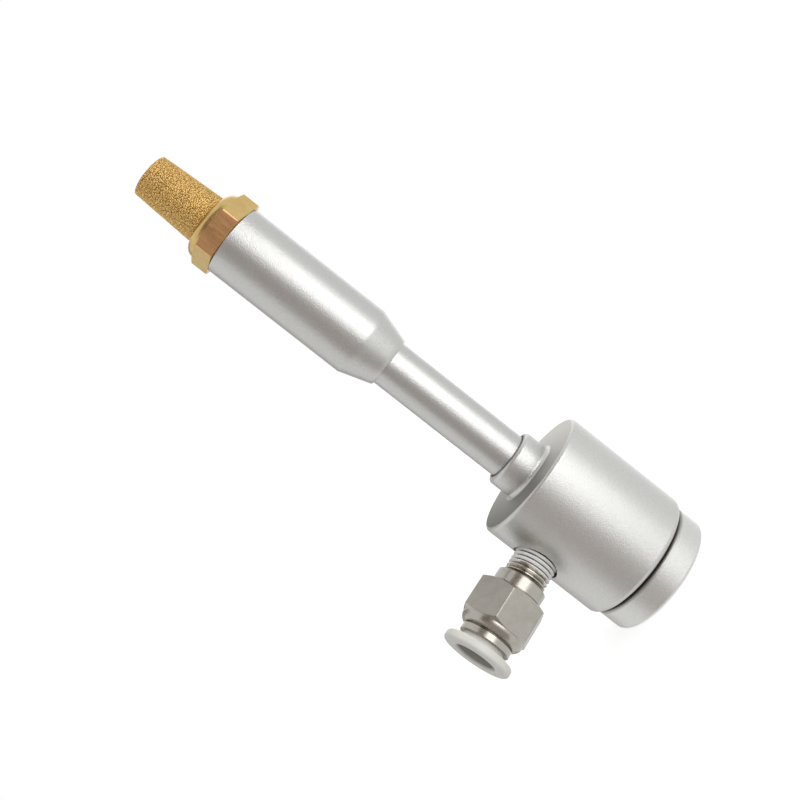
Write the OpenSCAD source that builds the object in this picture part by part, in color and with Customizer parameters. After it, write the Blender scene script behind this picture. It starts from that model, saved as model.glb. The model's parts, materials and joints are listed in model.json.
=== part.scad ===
// Vortex tube: compressed air enters at the side fitting, spins in the main body,
// and leaves cold through the cap and hot past the valve and the silencer.
// The tube's axis is Z. The cold end rests on z = 0 and the inlet points along -X.

/* [Main body] */
// Outside diameter of the main body
body_d = 42; // [40:0.5:50]
// Length of the main body between its flat faces
body_len = 41.4; // [38:0.2:50]
// Rounding of the edge beside the boss
body_front_round = 1.2; // [0.3:0.1:2]
// Rounding of the edge beside the cap
body_rear_round = 1.8; // [0.5:0.1:2]
// Thickness of the wall between the chamber and the boss
web_t = 4.2; // [3.2:0.1:6]
// Wall of the boss round the hot tube
boss_wall = 2.05; // [2:0.05:4]
// Length of the boss
boss_len = 8.2; // [6:0.1:12]
// Rounding of the boss edge
boss_edge_round = 1.3; // [0.3:0.1:1.3]
// Fillet at the foot of the boss
boss_foot_fillet = 1.4; // [0.3:0.1:2.5]

/* [Cold end cap] */
// Step by which the cap's radius is smaller than the body's
cap_step = 1.4; // [0:0.1:2]
// Length of the cap outside the body
cap_len = 8.8; // [6:0.1:14]
// Rounding of the cap's resting edge
cap_edge_round = 1; // [0.3:0.1:2]
// Rounding of the cap's edge at the groove
cap_top_round = 1.1; // [0.1:0.1:1.5]
// Width of the groove between cap and body
groove_w = 0.5; // [0.4:0.1:2]
// Width of the land inside the groove that the body stands on
seat_land = 2.2; // [1:0.1:3]
// Diameter of the spigot that screws into the body
spigot_d = 30; // [28:0.1:32]
// Length of the spigot inside the body
spigot_len = 13.7; // [10:0.1:16]
// Section of the seal rings of cap and generator
rim_seal_t = 1.6; // [1.2:0.1:1.8]
// Height of the cap's seal ring above the body's rear face
cap_seal_h = 2.4; // [1.5:0.1:6]
// Minor diameter of the cold outlet's pipe thread
cold_thread_d = 11.445; // [8.566:0.001:14.95]
// Length of the cold outlet's thread
cold_thread_len = 14; // [8:0.5:18]
// Diameter of the cold air passage
cold_bore_d = 9; // [8:0.1:11]

/* [Vortex generator] */
// Length of the flange that seals in the body
generator_flange_len = 4; // [3.2:0.1:6]
// Diameter of the waist that the inlet air surrounds
generator_waist_d = 16; // [13:0.1:18]
// Diameter of the head that holds the nozzles
generator_head_d = 22; // [18:0.1:26]
// Length of the head
generator_head_len = 8; // [7:0.1:9]
// Diameter of the vortex chamber
vortex_d = 12.4; // [11:0.1:14]
// Depth of the vortex chamber
vortex_len = 6.5; // [5.5:0.1:7]
// Diameter of the cold orifice
orifice_d = 6.4; // [4:0.1:7.6]
// Length of the straight land of the orifice
orifice_land = 1.5; // [0.5:0.1:3]
// Number of tangential nozzles
nozzle_count = 6; // [4:1:8]
// Width of a nozzle
nozzle_w = 1.3; // [0.8:0.1:1.8]
// Height of a nozzle
nozzle_h = 3; // [2:0.1:3.5]
// Height of the nozzles above the chamber's floor
nozzle_floor = 1.2; // [0.5:0.1:1.5]

/* [Hot tube] */
// Outside diameter of the hot tube
tube_d = 14.4; // [13.6:0.1:14.8]
// Inside diameter of the hot tube
tube_bore_d = 10.4; // [9:0.1:11]
// Length of tube that shows between boss and housing
tube_show_len = 45; // [30:0.5:70]
// Thickness of the ledge that the tube stands on
tube_ledge_t = 2; // [1:0.1:3]
// Length of tube inside the housing
tube_hidden_len = 12.2; // [10:0.1:16]
// Chamfer that forms the valve seat in the tube's end
seat_chamfer = 0.6; // [0.2:0.1:1]
// Section of the seal ring at the boss
tube_seal_t = 0.5; // [0.4:0.05:0.65]
// Height by which that seal ring shows
tube_seal_show = 0.05; // [0:0.05:0.3]

/* [Hot end housing] */
// Outside diameter of the housing
housing_d = 22.3; // [21:0.1:26]
// Length of the housing
housing_len = 57.6; // [52:0.2:75]
// Length of the taper
taper_len = 10.4; // [9:0.1:16]
// Wall at the small end of the taper
taper_end_wall = 0.82; // [0.6:0.02:2]
// Chamfer round the small end
taper_end_chamfer = 0.4; // [0.1:0.05:0.45]
// Step in the bore that the valve carrier stands on
carrier_ledge = 0.3; // [0.2:0.05:0.5]
// Section of the seal ring in the housing
housing_seal_t = 1.4; // [1:0.1:1.6]
// Height of that seal ring above the small end
housing_seal_h = 7.5; // [6:0.1:9]

/* [Control valve] */
// Diameter of the valve stem
stem_d = 6; // [5:0.1:7]
// Diameter of the valve head
valve_head_d = 9.6; // [8:0.1:10.2]
// Length of the straight part of the head
valve_head_len = 1.6; // [1:0.1:2]
// Diameter of the valve's blunt tip
valve_tip_d = 2.4; // [1:0.1:4]
// Rise of the valve in one turn
valve_lead = 1; // [0.5:0.05:1.25]
// Turns from the shown setting to shut, and to fully open
valve_turns = 1.5; // [1:0.25:1.5]
// Height of the carrier above the tube's end
carrier_gap = 6; // [5.5:0.1:9]
// Length of the carrier
carrier_len = 8; // [6:0.1:10]
// Number of air passages in the carrier
passage_count = 6; // [4:1:8]
// Diameter of an air passage
passage_d = 2.4; // [1.5:0.1:3]
// Length of stem that stands out of the carrier
stem_show_len = 4; // [3:0.1:6]
// Section of the friction ring on the stem
valve_seal_t = 0.9; // [0.6:0.05:1.2]
// Width of the screwdriver slot
slot_w = 1; // [0.6:0.1:1.6]
// Depth of the screwdriver slot
slot_depth = 1.8; // [1:0.1:2.5]

/* [Silencer] */
// Size of the silencer's hexagon across its flats
silencer_hex_af = 22; // [21.8:0.1:27]
// Length of the hexagon
silencer_hex_len = 5.9; // [4:0.1:10]
// Diameter of the silencer's pipe thread
silencer_thread_d = 16.662; // [15.6:0.001:18]
// Length of that thread
silencer_thread_len = 10; // [7:0.1:13]
// Diameter of the air passage through the thread
silencer_bore_d = 11; // [8:0.1:12]
// Free length left past the end of that thread
silencer_relief = 1; // [0.5:0.1:2]
// Height of the rounded shoulder above the hexagon
dome_len = 2.8; // [1.5:0.05:3]
// Diameter of the sintered element at its foot
element_base_d = 15.8; // [14:0.1:16]
// Diameter of the sintered element at its tip
element_tip_d = 13.6; // [11:0.1:15]
// Length of the element that shows
element_len = 20.9; // [15:0.1:40]
// Depth of the element's foot in the shoulder
element_seat_len = 4; // [2:0.1:6]
// Wall of the element
element_wall = 2.2; // [1.2:0.1:2.6]
// Rounding of the element's tip
element_round = 0.3; // [0.2:0.1:1.2]
// Turn of the hexagon about the axis
silencer_turn = 33; // [0:1:60]

/* [Inlet fitting] */
// Height of the inlet above the body's rear face
inlet_h = 25.2; // [23:0.1:27]
// Outside diameter of the inlet's pipe thread
inlet_thread_d = 13.157; // [12:0.001:13.2]
// Pitch of the inlet thread
inlet_thread_pitch = 1.337; // [0.9:0.001:1.5]
// Depth of the inlet thread
inlet_thread_depth = 0.856; // [0.5:0.001:1]
// Length of thread that shows outside the body
thread_show_len = 7.05; // [4:0.05:10]
// Length of thread inside the body
thread_hold_len = 5.4; // [4:0.1:6]
// Width of the recess round the inlet thread
port_recess_rim = 0.8; // [0.5:0.05:2]
// Depth of that recess
port_recess_depth = 2.4; // [1:0.1:3]
// Step from the thread's radius to the round collar's
collar_step = 1.2; // [0.5:0.05:2]
// Length of the collar
collar_len = 4.1; // [2:0.1:6]
// Size of the fitting's hexagon across its flats
fitting_hex_af = 20; // [19:0.1:24]
// Length of the hexagon
fitting_hex_len = 11.8; // [9:0.1:16]
// Length of the shoulder
shoulder_len = 2.6; // [2:0.1:4]
// Distance by which the rounded shoulder narrows
shoulder_drop = 1.6; // [1:0.1:1.9]
// Wall left at the shoulder's end
shoulder_wall = 0.85; // [0.4:0.05:1.2]
// Diameter of the air passage in the fitting
fitting_bore_d = 8.4; // [6:0.1:9]
// Turn of the hexagon about the inlet's axis
fitting_turn = -8.5; // [-30:0.5:30]

/* [Hose grip] */
// Outside diameter of the hose that plugs in
hose_d = 12; // [11.6:0.1:12.2]
// Depth of the bore that holds seal, spacer and claws
grip_bore_len = 9.2; // [8.6:0.1:11]
// Depth of the hose socket below that bore
socket_len = 4.4; // [3:0.1:6]
// Length of the hose seal
seal_len = 2.8; // [2:0.1:3]
// Length of the spacer
spacer_len = 1.9; // [1.7:0.1:2.2]
// Thickness of the claw ring
claw_t = 0.4; // [0.2:0.05:0.5]
// Width of the claw ring's flat rim
claw_rim = 0.4; // [0.3:0.05:0.6]
// Distance by which the claws lean towards the body
claw_lean = 1.2; // [0.8:0.05:1.4]
// Depth of the claw tips below the hose's surface
claw_bite = 0.2; // [0.1:0.05:0.3]
// Number of claws
claw_count = 12; // [8:1:16]
// Width of the slot between two claws
claw_slot_w = 0.5; // [0.3:0.05:0.8]
// Wall of the retainer ring's sleeve
sleeve_wall = 0.76; // [0.5:0.02:1]
// Step from the sleeve's bore to the ring that shows
retainer_lip = 0.5; // [0.2:0.05:0.8]
// Length of the retainer ring that shows
retainer_len = 2.3; // [1.5:0.05:4]
// Gap between the shoulder and the retainer ring
retainer_gap = 0.2; // [0.1:0.05:0.5]
// Wall of the release ring's neck
release_wall = 0.48; // [0.4:0.02:0.8]
// Diameter of the release ring's flange
release_flange_d = 21.3; // [18:0.1:24]
// Thickness of that flange
release_flange_t = 2.7; // [1.6:0.1:3.5]
// Rounding of the flange's rim
release_round = 0.9; // [0.3:0.05:1]
// Chamfer at the mouth of the release ring
release_flare = 0.6; // [0.3:0.05:1]
// Length of the release ring's neck that shows
neck_show_len = 1.75; // [1.7:0.05:3]
// Distance that the release ring can be pushed in
release_travel = 1.5; // [0.8:0.1:1.6]

/* [Fits] */
// Radial gap between pieces that are screwed or pressed together
seat_clear = 0.03; // [0.01:0.01:0.06]
// Radial gap between pieces that slide or turn
run_clear = 0.06; // [0.03:0.01:0.1]
// Gap round a seal ring in its groove
seal_clear = 0.03; // [0.01:0.01:0.06]
// Free gap left at the end of a movement
stop_clear = 0.1; // [0.05:0.01:0.3]

/* [Hidden] */
$fn = 96;
// Straight steps in a quarter round
arc_steps = 7;
// Extra reach of a shape past the surface that it opens or joins
cut = 1;
// Slope of the chamfers on both hexagons
hex_chamfer_angle = 30;
// Slope of the silencer's hexagon below its shoulder
shoulder_chamfer_angle = 20;
// Amount taken off each hexagon corner
corner_break = 0.12;
// Small chamfer on turned edges
edge_break = 0.25;
// Parts of the hose seal's length up to its lip, and up to the groove behind the lip
lip_part = 0.25;
lip_groove_part = 0.45;

// Stations along the main axis
body_z0 = cap_len + groove_w;
body_z1 = body_z0 + body_len;
boss_z1 = body_z1 + boss_len;
chamber_z1 = body_z1 - web_t;
spigot_z1 = body_z0 + spigot_len;
inlet_z = body_z0 + inlet_h;
tube_z0 = chamber_z1 + tube_ledge_t;
housing_z0 = boss_z1 + tube_show_len;
housing_z1 = housing_z0 + housing_len;
tube_z1 = housing_z0 + tube_hidden_len;
carrier_z0 = tube_z1 + carrier_gap;
carrier_z1 = carrier_z0 + carrier_len;
stem_z1 = carrier_z1 + stem_show_len;
socket_z0 = housing_z1 - silencer_thread_len - silencer_relief;
hex_z1 = housing_z1 + silencer_hex_len;
dome_z1 = hex_z1 + dome_len;
element_z0 = dome_z1 - element_seat_len;
element_z1 = dome_z1 + element_len;

// Radii about the main axis
body_r = body_d / 2;
cap_r = body_r - cap_step;
spigot_r = spigot_d / 2;
chamber_r = spigot_r + seat_clear;
land_r = spigot_r + seat_land;
cold_bore_r = cold_bore_d / 2;
vortex_r = vortex_d / 2;
tube_r = tube_d / 2;
boss_r = tube_r + boss_wall;
tube_bore_r = tube_bore_d / 2;
tube_hole_r = tube_r + seat_clear;
tube_seal_room = tube_seal_t + 2 * seal_clear;
housing_r = housing_d / 2;
taper_end_r = tube_hole_r + taper_end_wall;
carrier_hole_r = stem_d / 2 + run_clear;
housing_bore_r = tube_hole_r + carrier_ledge;
silencer_hole_r = silencer_thread_d / 2 + seat_clear;
element_r = element_base_d / 2;
element_tip_r = element_tip_d / 2;
dome_r = element_r + seat_clear + edge_break + dome_len;

// Seal rings that sit in a groove of the spigot and of the generator
rim_groove_w = rim_seal_t + 2 * seal_clear;
rim_groove_r = chamber_r - rim_groove_w;
cap_seal_z = body_z0 + cap_seal_h;
generator_seal_z = spigot_z1 + generator_flange_len / 2;
tube_seal_z = boss_z1 + tube_seal_show - tube_seal_t / 2;
tube_seal_r = tube_r + tube_seal_room / 2;
tube_groove_r = tube_r + tube_seal_room;
housing_seal_z = housing_z0 + housing_seal_h;
housing_groove_w = housing_seal_t + 2 * seal_clear;
valve_seal_z = (carrier_z0 + carrier_z1) / 2;
valve_groove_w = valve_seal_t + 2 * seal_clear;
valve_groove_r = carrier_hole_r - valve_groove_w;

// Vortex chamber and nozzles
vortex_z0 = chamber_z1 - vortex_len;
head_z0 = chamber_z1 - generator_head_len;
waist_cone = (generator_head_d - generator_waist_d) / 2;
// Step that keeps a nozzle's wall inside the chamber's wall
nozzle_inset = 0.15;

// Valve cone at 45 degrees, open by its travel and a last gap
valve_travel = valve_lead * valve_turns;
cone_r_at_seat = tube_bore_r - valve_travel - stop_clear;
cone_z0 = tube_z1 - cone_r_at_seat + valve_tip_d / 2;
cone_z1 = tube_z1 - cone_r_at_seat + valve_head_d / 2;
passage_r = (carrier_hole_r + housing_bore_r) / 2;

// Stations along the inlet, measured from the main axis
thread_s0 = body_r - thread_hold_len;
collar_s0 = body_r + thread_show_len;
fhex_s0 = collar_s0 + collar_len;
shoulder_s0 = fhex_s0 + fitting_hex_len;
shoulder_s1 = shoulder_s0 + shoulder_len;
grip_s0 = shoulder_s1 - grip_bore_len;
socket_s0 = grip_s0 - socket_len;
spacer_s0 = grip_s0 + seal_len;
claw_s0 = spacer_s0 + spacer_len;
sleeve_s0 = claw_s0 + claw_t;
retainer_s0 = shoulder_s1 + retainer_gap;
retainer_s1 = retainer_s0 + retainer_len;
flange_s0 = retainer_s1 + neck_show_len;
flange_s1 = flange_s0 + release_flange_t;
ring_s0 = sleeve_s0 + release_travel + stop_clear;

// Radii about the inlet
thread_r = inlet_thread_d / 2;
thread_root_r = thread_r - inlet_thread_depth;
// Flat at a thread's crest and root
thread_flat = inlet_thread_pitch * 0.16;
thread_count = floor((collar_s0 - thread_s0) / inlet_thread_pitch);
port_r = thread_r + seat_clear;
collar_r = thread_r + collar_step;
socket_r = hose_d / 2 + run_clear;
release_hole_r = socket_r + run_clear;
neck_r = release_hole_r + release_wall;
retainer_bore_r = neck_r + run_clear;
grip_piece_r = retainer_bore_r + sleeve_wall;
grip_r = grip_piece_r + seat_clear;
retainer_r = grip_r + retainer_lip;
shoulder_end_r = grip_r + shoulder_wall;
shoulder_r = shoulder_end_r + shoulder_drop;
// Round that narrows the shoulder over its length
shoulder_arc_r = (pow(shoulder_len, 2) + pow(shoulder_drop, 2)) / (2 * shoulder_drop);
shoulder_arc_angle = asin(shoulder_len / shoulder_arc_r);
flange_r = release_flange_d / 2;
claw_tip_r = hose_d / 2 - claw_bite;
claw_root_r = grip_piece_r - claw_rim;

// Points of an arc about [r, z], from angle a0 to angle a1
function arc(r, z, radius, a0, a1) = [
    for (i = [0 : arc_steps])
        let (a = a0 + (a1 - a0) * i / arc_steps)
            [r + radius * cos(a), z + radius * sin(a)]
];

// A turned piece from a profile of [radius, height] points
module turned(profile) {
    rotate_extrude()
        polygon(profile);
}

// A seal ring of round section
module seal_ring(r, z, section) {
    rotate_extrude()
        translate([r, z])
            circle(d = section);
}

// Radius of a hexagon's broken corners
function hex_corner_r(af) = af / sqrt(3) - corner_break;

// A hexagon with chamfered ends and slightly broken corners
module chamfered_hex(af, z0, z1, turn, face0_r, face1_r, angle1) {
    corner_r = hex_corner_r(af);
    intersection() {
        translate([0, 0, z0])
            rotate(turn)
                cylinder(h = z1 - z0, r = af / sqrt(3), $fn = 6);
        turned([
            [0, z0],
            [face0_r, z0],
            [corner_r, z0 + (corner_r - face0_r) * tan(hex_chamfer_angle)],
            [corner_r, z1 - (corner_r - face1_r) * tan(angle1)],
            [face1_r, z1],
            [0, z1]
        ]);
    }
}

// Places a piece whose own axis is the inlet's axis
module on_inlet() {
    translate([0, 0, inlet_z])
        rotate([0, -90, 0])
            children();
}

module vortex_body() {
    color("silver")
        difference() {
            turned(concat(
                [[chamber_r, body_z0]],
                arc(body_r - body_rear_round, body_z0 + body_rear_round, body_rear_round, -90, 0),
                arc(body_r - body_front_round, body_z1 - body_front_round, body_front_round, 0, 90),
                arc(boss_r + boss_foot_fillet, body_z1 + boss_foot_fillet, boss_foot_fillet, 270, 180),
                arc(boss_r - boss_edge_round, boss_z1 - boss_edge_round, boss_edge_round, 0, 90),
                [
                    [tube_groove_r, boss_z1],
                    [tube_groove_r, tube_seal_z - tube_seal_room / 2],
                    [tube_hole_r, tube_seal_z - tube_seal_room / 2],
                    [tube_hole_r, tube_z0],
                    [tube_bore_r, tube_z0],
                    [tube_bore_r, chamber_z1],
                    [chamber_r, chamber_z1]
                ]));
            on_inlet() {
                translate([0, 0, chamber_r / 2])
                    cylinder(h = body_r - chamber_r / 2 + cut, r = port_r);
                translate([0, 0, body_r - port_recess_depth])
                    cylinder(h = port_recess_depth + cut, r = thread_r + port_recess_rim);
            }
        }
}

module cold_end_cap() {
    color("silver")
        turned(concat(
            [[cold_thread_d / 2, 0]],
            arc(cap_r - cap_edge_round, cap_edge_round, cap_edge_round, -90, 0),
            arc(cap_r - cap_top_round, cap_len - cap_top_round, cap_top_round, 0, 90),
            [
                [land_r, cap_len],
                [land_r, body_z0],
                [spigot_r, body_z0],
                [spigot_r, cap_seal_z - rim_groove_w / 2],
                [rim_groove_r, cap_seal_z - rim_groove_w / 2],
                [rim_groove_r, cap_seal_z + rim_groove_w / 2],
                [spigot_r, cap_seal_z + rim_groove_w / 2],
                [spigot_r, spigot_z1 - edge_break],
                [spigot_r - edge_break, spigot_z1],
                [cold_bore_r, spigot_z1],
                [cold_bore_r, cold_thread_len],
                [cold_thread_d / 2, cold_thread_len]
            ]));
}

module cap_seal() {
    color("dimgray")
        seal_ring(chamber_r - rim_groove_w / 2, cap_seal_z, rim_seal_t);
}

module vortex_generator() {
    color("goldenrod")
        difference() {
            turned([
                [cold_bore_r, spigot_z1],
                [spigot_r, spigot_z1],
                [spigot_r, generator_seal_z - rim_groove_w / 2],
                [rim_groove_r, generator_seal_z - rim_groove_w / 2],
                [rim_groove_r, generator_seal_z + rim_groove_w / 2],
                [spigot_r, generator_seal_z + rim_groove_w / 2],
                [spigot_r, spigot_z1 + generator_flange_len],
                [generator_waist_d / 2, spigot_z1 + generator_flange_len],
                [generator_waist_d / 2, head_z0 - waist_cone],
                [generator_head_d / 2, head_z0],
                [generator_head_d / 2, chamber_z1],
                [vortex_r, chamber_z1],
                [vortex_r, vortex_z0],
                [orifice_d / 2, vortex_z0],
                [orifice_d / 2, vortex_z0 - orifice_land]
            ]);
            for (i = [0 : nozzle_count - 1])
                rotate(i * 360 / nozzle_count)
                    translate([vortex_r - nozzle_w - nozzle_inset, 0, vortex_z0 + nozzle_floor])
                        cube([nozzle_w, generator_head_d, nozzle_h]);
        }
}

module generator_seal() {
    color("dimgray")
        seal_ring(chamber_r - rim_groove_w / 2, generator_seal_z, rim_seal_t);
}

module hot_tube() {
    color("silver")
        turned([
            [tube_bore_r, tube_z0],
            [tube_r, tube_z0],
            [tube_r, tube_z1],
            [tube_bore_r + seat_chamfer, tube_z1],
            [tube_bore_r, tube_z1 - seat_chamfer]
        ]);
}

module hot_tube_seal() {
    color("dimgray")
        seal_ring(tube_seal_r, tube_seal_z, tube_seal_t);
}

module hot_end_housing() {
    color("silver")
        turned([
            [tube_hole_r, housing_z0],
            [taper_end_r - taper_end_chamfer, housing_z0],
            [taper_end_r, housing_z0 + taper_end_chamfer],
            [housing_r, housing_z0 + taper_len],
            [housing_r, housing_z1 - edge_break],
            [housing_r - edge_break, housing_z1],
            [silencer_hole_r, housing_z1],
            [silencer_hole_r, socket_z0],
            [housing_bore_r, socket_z0],
            [housing_bore_r, carrier_z0],
            [tube_hole_r, carrier_z0],
            [tube_hole_r, housing_seal_z + housing_groove_w / 2],
            [tube_r + housing_groove_w, housing_seal_z + housing_groove_w / 2],
            [tube_r + housing_groove_w, housing_seal_z - housing_groove_w / 2],
            [tube_hole_r, housing_seal_z - housing_groove_w / 2]
        ]);
}

module housing_seal() {
    color("dimgray")
        seal_ring(tube_r + housing_groove_w / 2, housing_seal_z, housing_seal_t);
}

module valve_carrier() {
    color("goldenrod")
        difference() {
            turned([
                [carrier_hole_r, carrier_z0],
                [housing_bore_r - seat_clear, carrier_z0],
                [housing_bore_r - seat_clear, carrier_z1],
                [carrier_hole_r, carrier_z1]
            ]);
            for (i = [0 : passage_count - 1])
                rotate(i * 360 / passage_count)
                    translate([passage_r, 0, carrier_z0 - cut])
                        cylinder(h = carrier_len + 2 * cut, d = passage_d);
        }
}

module control_valve() {
    color("goldenrod")
        difference() {
            turned([
                [0, cone_z0],
                [valve_tip_d / 2, cone_z0],
                [valve_head_d / 2, cone_z1],
                [valve_head_d / 2, cone_z1 + valve_head_len],
                [stem_d / 2, cone_z1 + valve_head_len],
                [stem_d / 2, valve_seal_z - valve_groove_w / 2],
                [valve_groove_r, valve_seal_z - valve_groove_w / 2],
                [valve_groove_r, valve_seal_z + valve_groove_w / 2],
                [stem_d / 2, valve_seal_z + valve_groove_w / 2],
                [stem_d / 2, stem_z1 - edge_break],
                [stem_d / 2 - edge_break, stem_z1],
                [0, stem_z1]
            ]);
            translate([-stem_d, -slot_w / 2, stem_z1 - slot_depth])
                cube([2 * stem_d, slot_w, slot_depth + cut]);
        }
}

module valve_seal() {
    color("dimgray")
        seal_ring(carrier_hole_r - valve_groove_w / 2, valve_seal_z, valve_seal_t);
}

module silencer_body() {
    color("darkgoldenrod")
        difference() {
            union() {
                chamfered_hex(silencer_hex_af, housing_z1, hex_z1, silencer_turn,
                    hex_corner_r(silencer_hex_af) - edge_break,
                    min(dome_r, silencer_hex_af / 2), shoulder_chamfer_angle);
                turned(concat(
                    [[0, housing_z1]],
                    [[dome_r, housing_z1]],
                    arc(dome_r - dome_len, hex_z1, dome_len, 0, 90),
                    [[0, dome_z1]]));
                turned([
                    [0, housing_z1 - silencer_thread_len],
                    [silencer_thread_d / 2 - edge_break, housing_z1 - silencer_thread_len],
                    [silencer_thread_d / 2, housing_z1 - silencer_thread_len + edge_break],
                    [silencer_thread_d / 2, housing_z1 + edge_break],
                    [0, housing_z1 + edge_break]
                ]);
            }
            turned([
                [0, housing_z1 - silencer_thread_len - cut],
                [silencer_bore_d / 2, housing_z1 - silencer_thread_len - cut],
                [silencer_bore_d / 2, element_z0],
                [element_r + seat_clear, element_z0],
                [element_r + seat_clear, dome_z1 + cut],
                [0, dome_z1 + cut]
            ]);
        }
}

module silencer_element() {
    color("peru")
        turned(concat(
            [
                [element_r - element_wall, element_z0],
                [element_r, element_z0],
                [element_r, dome_z1]
            ],
            arc(element_tip_r - element_round, element_z1 - element_round, element_round, 0, 90),
            [
                [0, element_z1],
                [0, element_z1 - element_wall],
                [element_tip_r - element_wall, element_z1 - element_wall]
            ]));
}

// Profile of the inlet thread as a row of rings of the thread's own section
thread_rings = [
    for (i = [0 : thread_count - 1])
        let (s = thread_s0 + i * inlet_thread_pitch)
            each [
                [thread_root_r, s + thread_flat / 2],
                [thread_r, s + (inlet_thread_pitch - thread_flat) / 2],
                [thread_r, s + (inlet_thread_pitch + thread_flat) / 2],
                [thread_root_r, s + inlet_thread_pitch - thread_flat / 2]
            ]
];

module fitting_body() {
    color("lightgray")
        on_inlet()
            difference() {
                union() {
                    turned(concat(
                        [[0, thread_s0], [thread_root_r, thread_s0]],
                        thread_rings,
                        [
                            [thread_root_r, collar_s0],
                            [collar_r - edge_break, collar_s0],
                            [collar_r, collar_s0 + edge_break],
                            [collar_r, shoulder_s0 - cut],
                            [shoulder_r, shoulder_s0 - cut]
                        ],
                        arc(shoulder_r - shoulder_arc_r, shoulder_s0, shoulder_arc_r, 0, shoulder_arc_angle),
                        [[0, shoulder_s1]]));
                    chamfered_hex(fitting_hex_af, fhex_s0, shoulder_s0, fitting_turn,
                        (collar_r + fitting_hex_af / 2) / 2,
                        min(shoulder_r, fitting_hex_af / 2), hex_chamfer_angle);
                }
                turned([
                    [0, thread_s0 - cut],
                    [fitting_bore_d / 2, thread_s0 - cut],
                    [fitting_bore_d / 2, socket_s0],
                    [socket_r, socket_s0],
                    [socket_r, grip_s0],
                    [grip_r, grip_s0],
                    [grip_r, shoulder_s1 + cut],
                    [0, shoulder_s1 + cut]
                ]);
            }
}

module hose_seal() {
    lip_r = hose_d / 2;
    root_r = (lip_r + grip_piece_r) / 2;
    color("dimgray")
        on_inlet()
            turned([
                [grip_piece_r, grip_s0],
                [grip_piece_r, spacer_s0],
                [socket_r + run_clear, spacer_s0],
                [lip_r, grip_s0 + seal_len * lip_part],
                [lip_r + run_clear, grip_s0],
                [root_r, grip_s0 + seal_len * lip_groove_part]
            ]);
}

module seal_spacer() {
    color("white")
        on_inlet()
            turned([
                [socket_r + run_clear, spacer_s0],
                [grip_piece_r, spacer_s0],
                [grip_piece_r, claw_s0],
                [claw_root_r + run_clear, claw_s0],
                [socket_r + run_clear, claw_s0 - claw_lean - edge_break]
            ]);
}

module claw_ring() {
    color("gainsboro")
        on_inlet()
            difference() {
                turned([
                    [claw_tip_r, claw_s0 - claw_lean],
                    [claw_root_r, claw_s0],
                    [grip_piece_r, claw_s0],
                    [grip_piece_r, sleeve_s0],
                    [claw_root_r, sleeve_s0],
                    [claw_tip_r, claw_s0 - claw_lean + claw_t]
                ]);
                for (i = [0 : claw_count - 1])
                    rotate(i * 360 / claw_count)
                        translate([0, -claw_slot_w / 2, claw_s0 - claw_lean - cut])
                            cube([claw_root_r, claw_slot_w, claw_lean + claw_t + 2 * cut]);
            }
}

module retainer_ring() {
    color("lightgray")
        on_inlet()
            turned([
                [retainer_bore_r, sleeve_s0],
                [grip_piece_r, sleeve_s0],
                [grip_piece_r, retainer_s0],
                [retainer_r - edge_break, retainer_s0],
                [retainer_r, retainer_s0 + edge_break],
                [retainer_r, retainer_s1 - edge_break],
                [retainer_r - edge_break, retainer_s1],
                [retainer_bore_r, retainer_s1]
            ]);
}

module release_ring() {
    color("whitesmoke")
        on_inlet()
            turned(concat(
                [[release_hole_r, ring_s0], [neck_r, ring_s0], [neck_r, flange_s0]],
                arc(flange_r - release_round, flange_s0 + release_round, release_round, -90, 0),
                arc(flange_r - release_round, flange_s1 - release_round, release_round, 0, 90),
                [
                    [release_hole_r + release_flare, flange_s1],
                    [release_hole_r, flange_s1 - release_flare]
                ]));
}

vortex_body();
cold_end_cap();
cap_seal();
vortex_generator();
generator_seal();
hot_tube();
hot_tube_seal();
hot_end_housing();
housing_seal();
valve_carrier();
control_valve();
valve_seal();
silencer_body();
silencer_element();
fitting_body();
hose_seal();
seal_spacer();
claw_ring();
retainer_ring();
release_ring();
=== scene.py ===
"""Looks of a vortex tube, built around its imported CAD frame.

Everything is in metres in the CAD frame: the tube's axis is Z, the cold end rests on z = 0
and the inlet fitting points along -X. Distances along the inlet are called s and are measured
from the tube's axis.
"""

import json
import math

import bmesh
import bpy
import numpy as np
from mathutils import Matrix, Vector, kdtree


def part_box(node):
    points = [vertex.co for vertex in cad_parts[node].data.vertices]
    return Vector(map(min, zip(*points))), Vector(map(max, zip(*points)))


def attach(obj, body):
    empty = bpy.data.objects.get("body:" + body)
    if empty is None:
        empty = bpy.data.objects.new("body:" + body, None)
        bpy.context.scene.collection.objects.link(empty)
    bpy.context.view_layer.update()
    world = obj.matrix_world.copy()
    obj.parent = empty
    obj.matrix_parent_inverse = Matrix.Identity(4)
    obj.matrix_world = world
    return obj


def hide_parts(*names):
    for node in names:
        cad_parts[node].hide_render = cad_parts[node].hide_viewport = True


MM = 0.001
SEED = 7

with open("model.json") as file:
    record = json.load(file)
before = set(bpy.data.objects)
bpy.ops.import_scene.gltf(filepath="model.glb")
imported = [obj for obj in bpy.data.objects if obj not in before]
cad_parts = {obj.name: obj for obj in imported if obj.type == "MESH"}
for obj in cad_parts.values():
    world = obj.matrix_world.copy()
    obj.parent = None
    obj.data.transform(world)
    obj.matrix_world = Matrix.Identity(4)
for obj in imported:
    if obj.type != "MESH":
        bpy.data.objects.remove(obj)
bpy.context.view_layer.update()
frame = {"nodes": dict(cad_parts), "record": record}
nodes = frame["nodes"]

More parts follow.
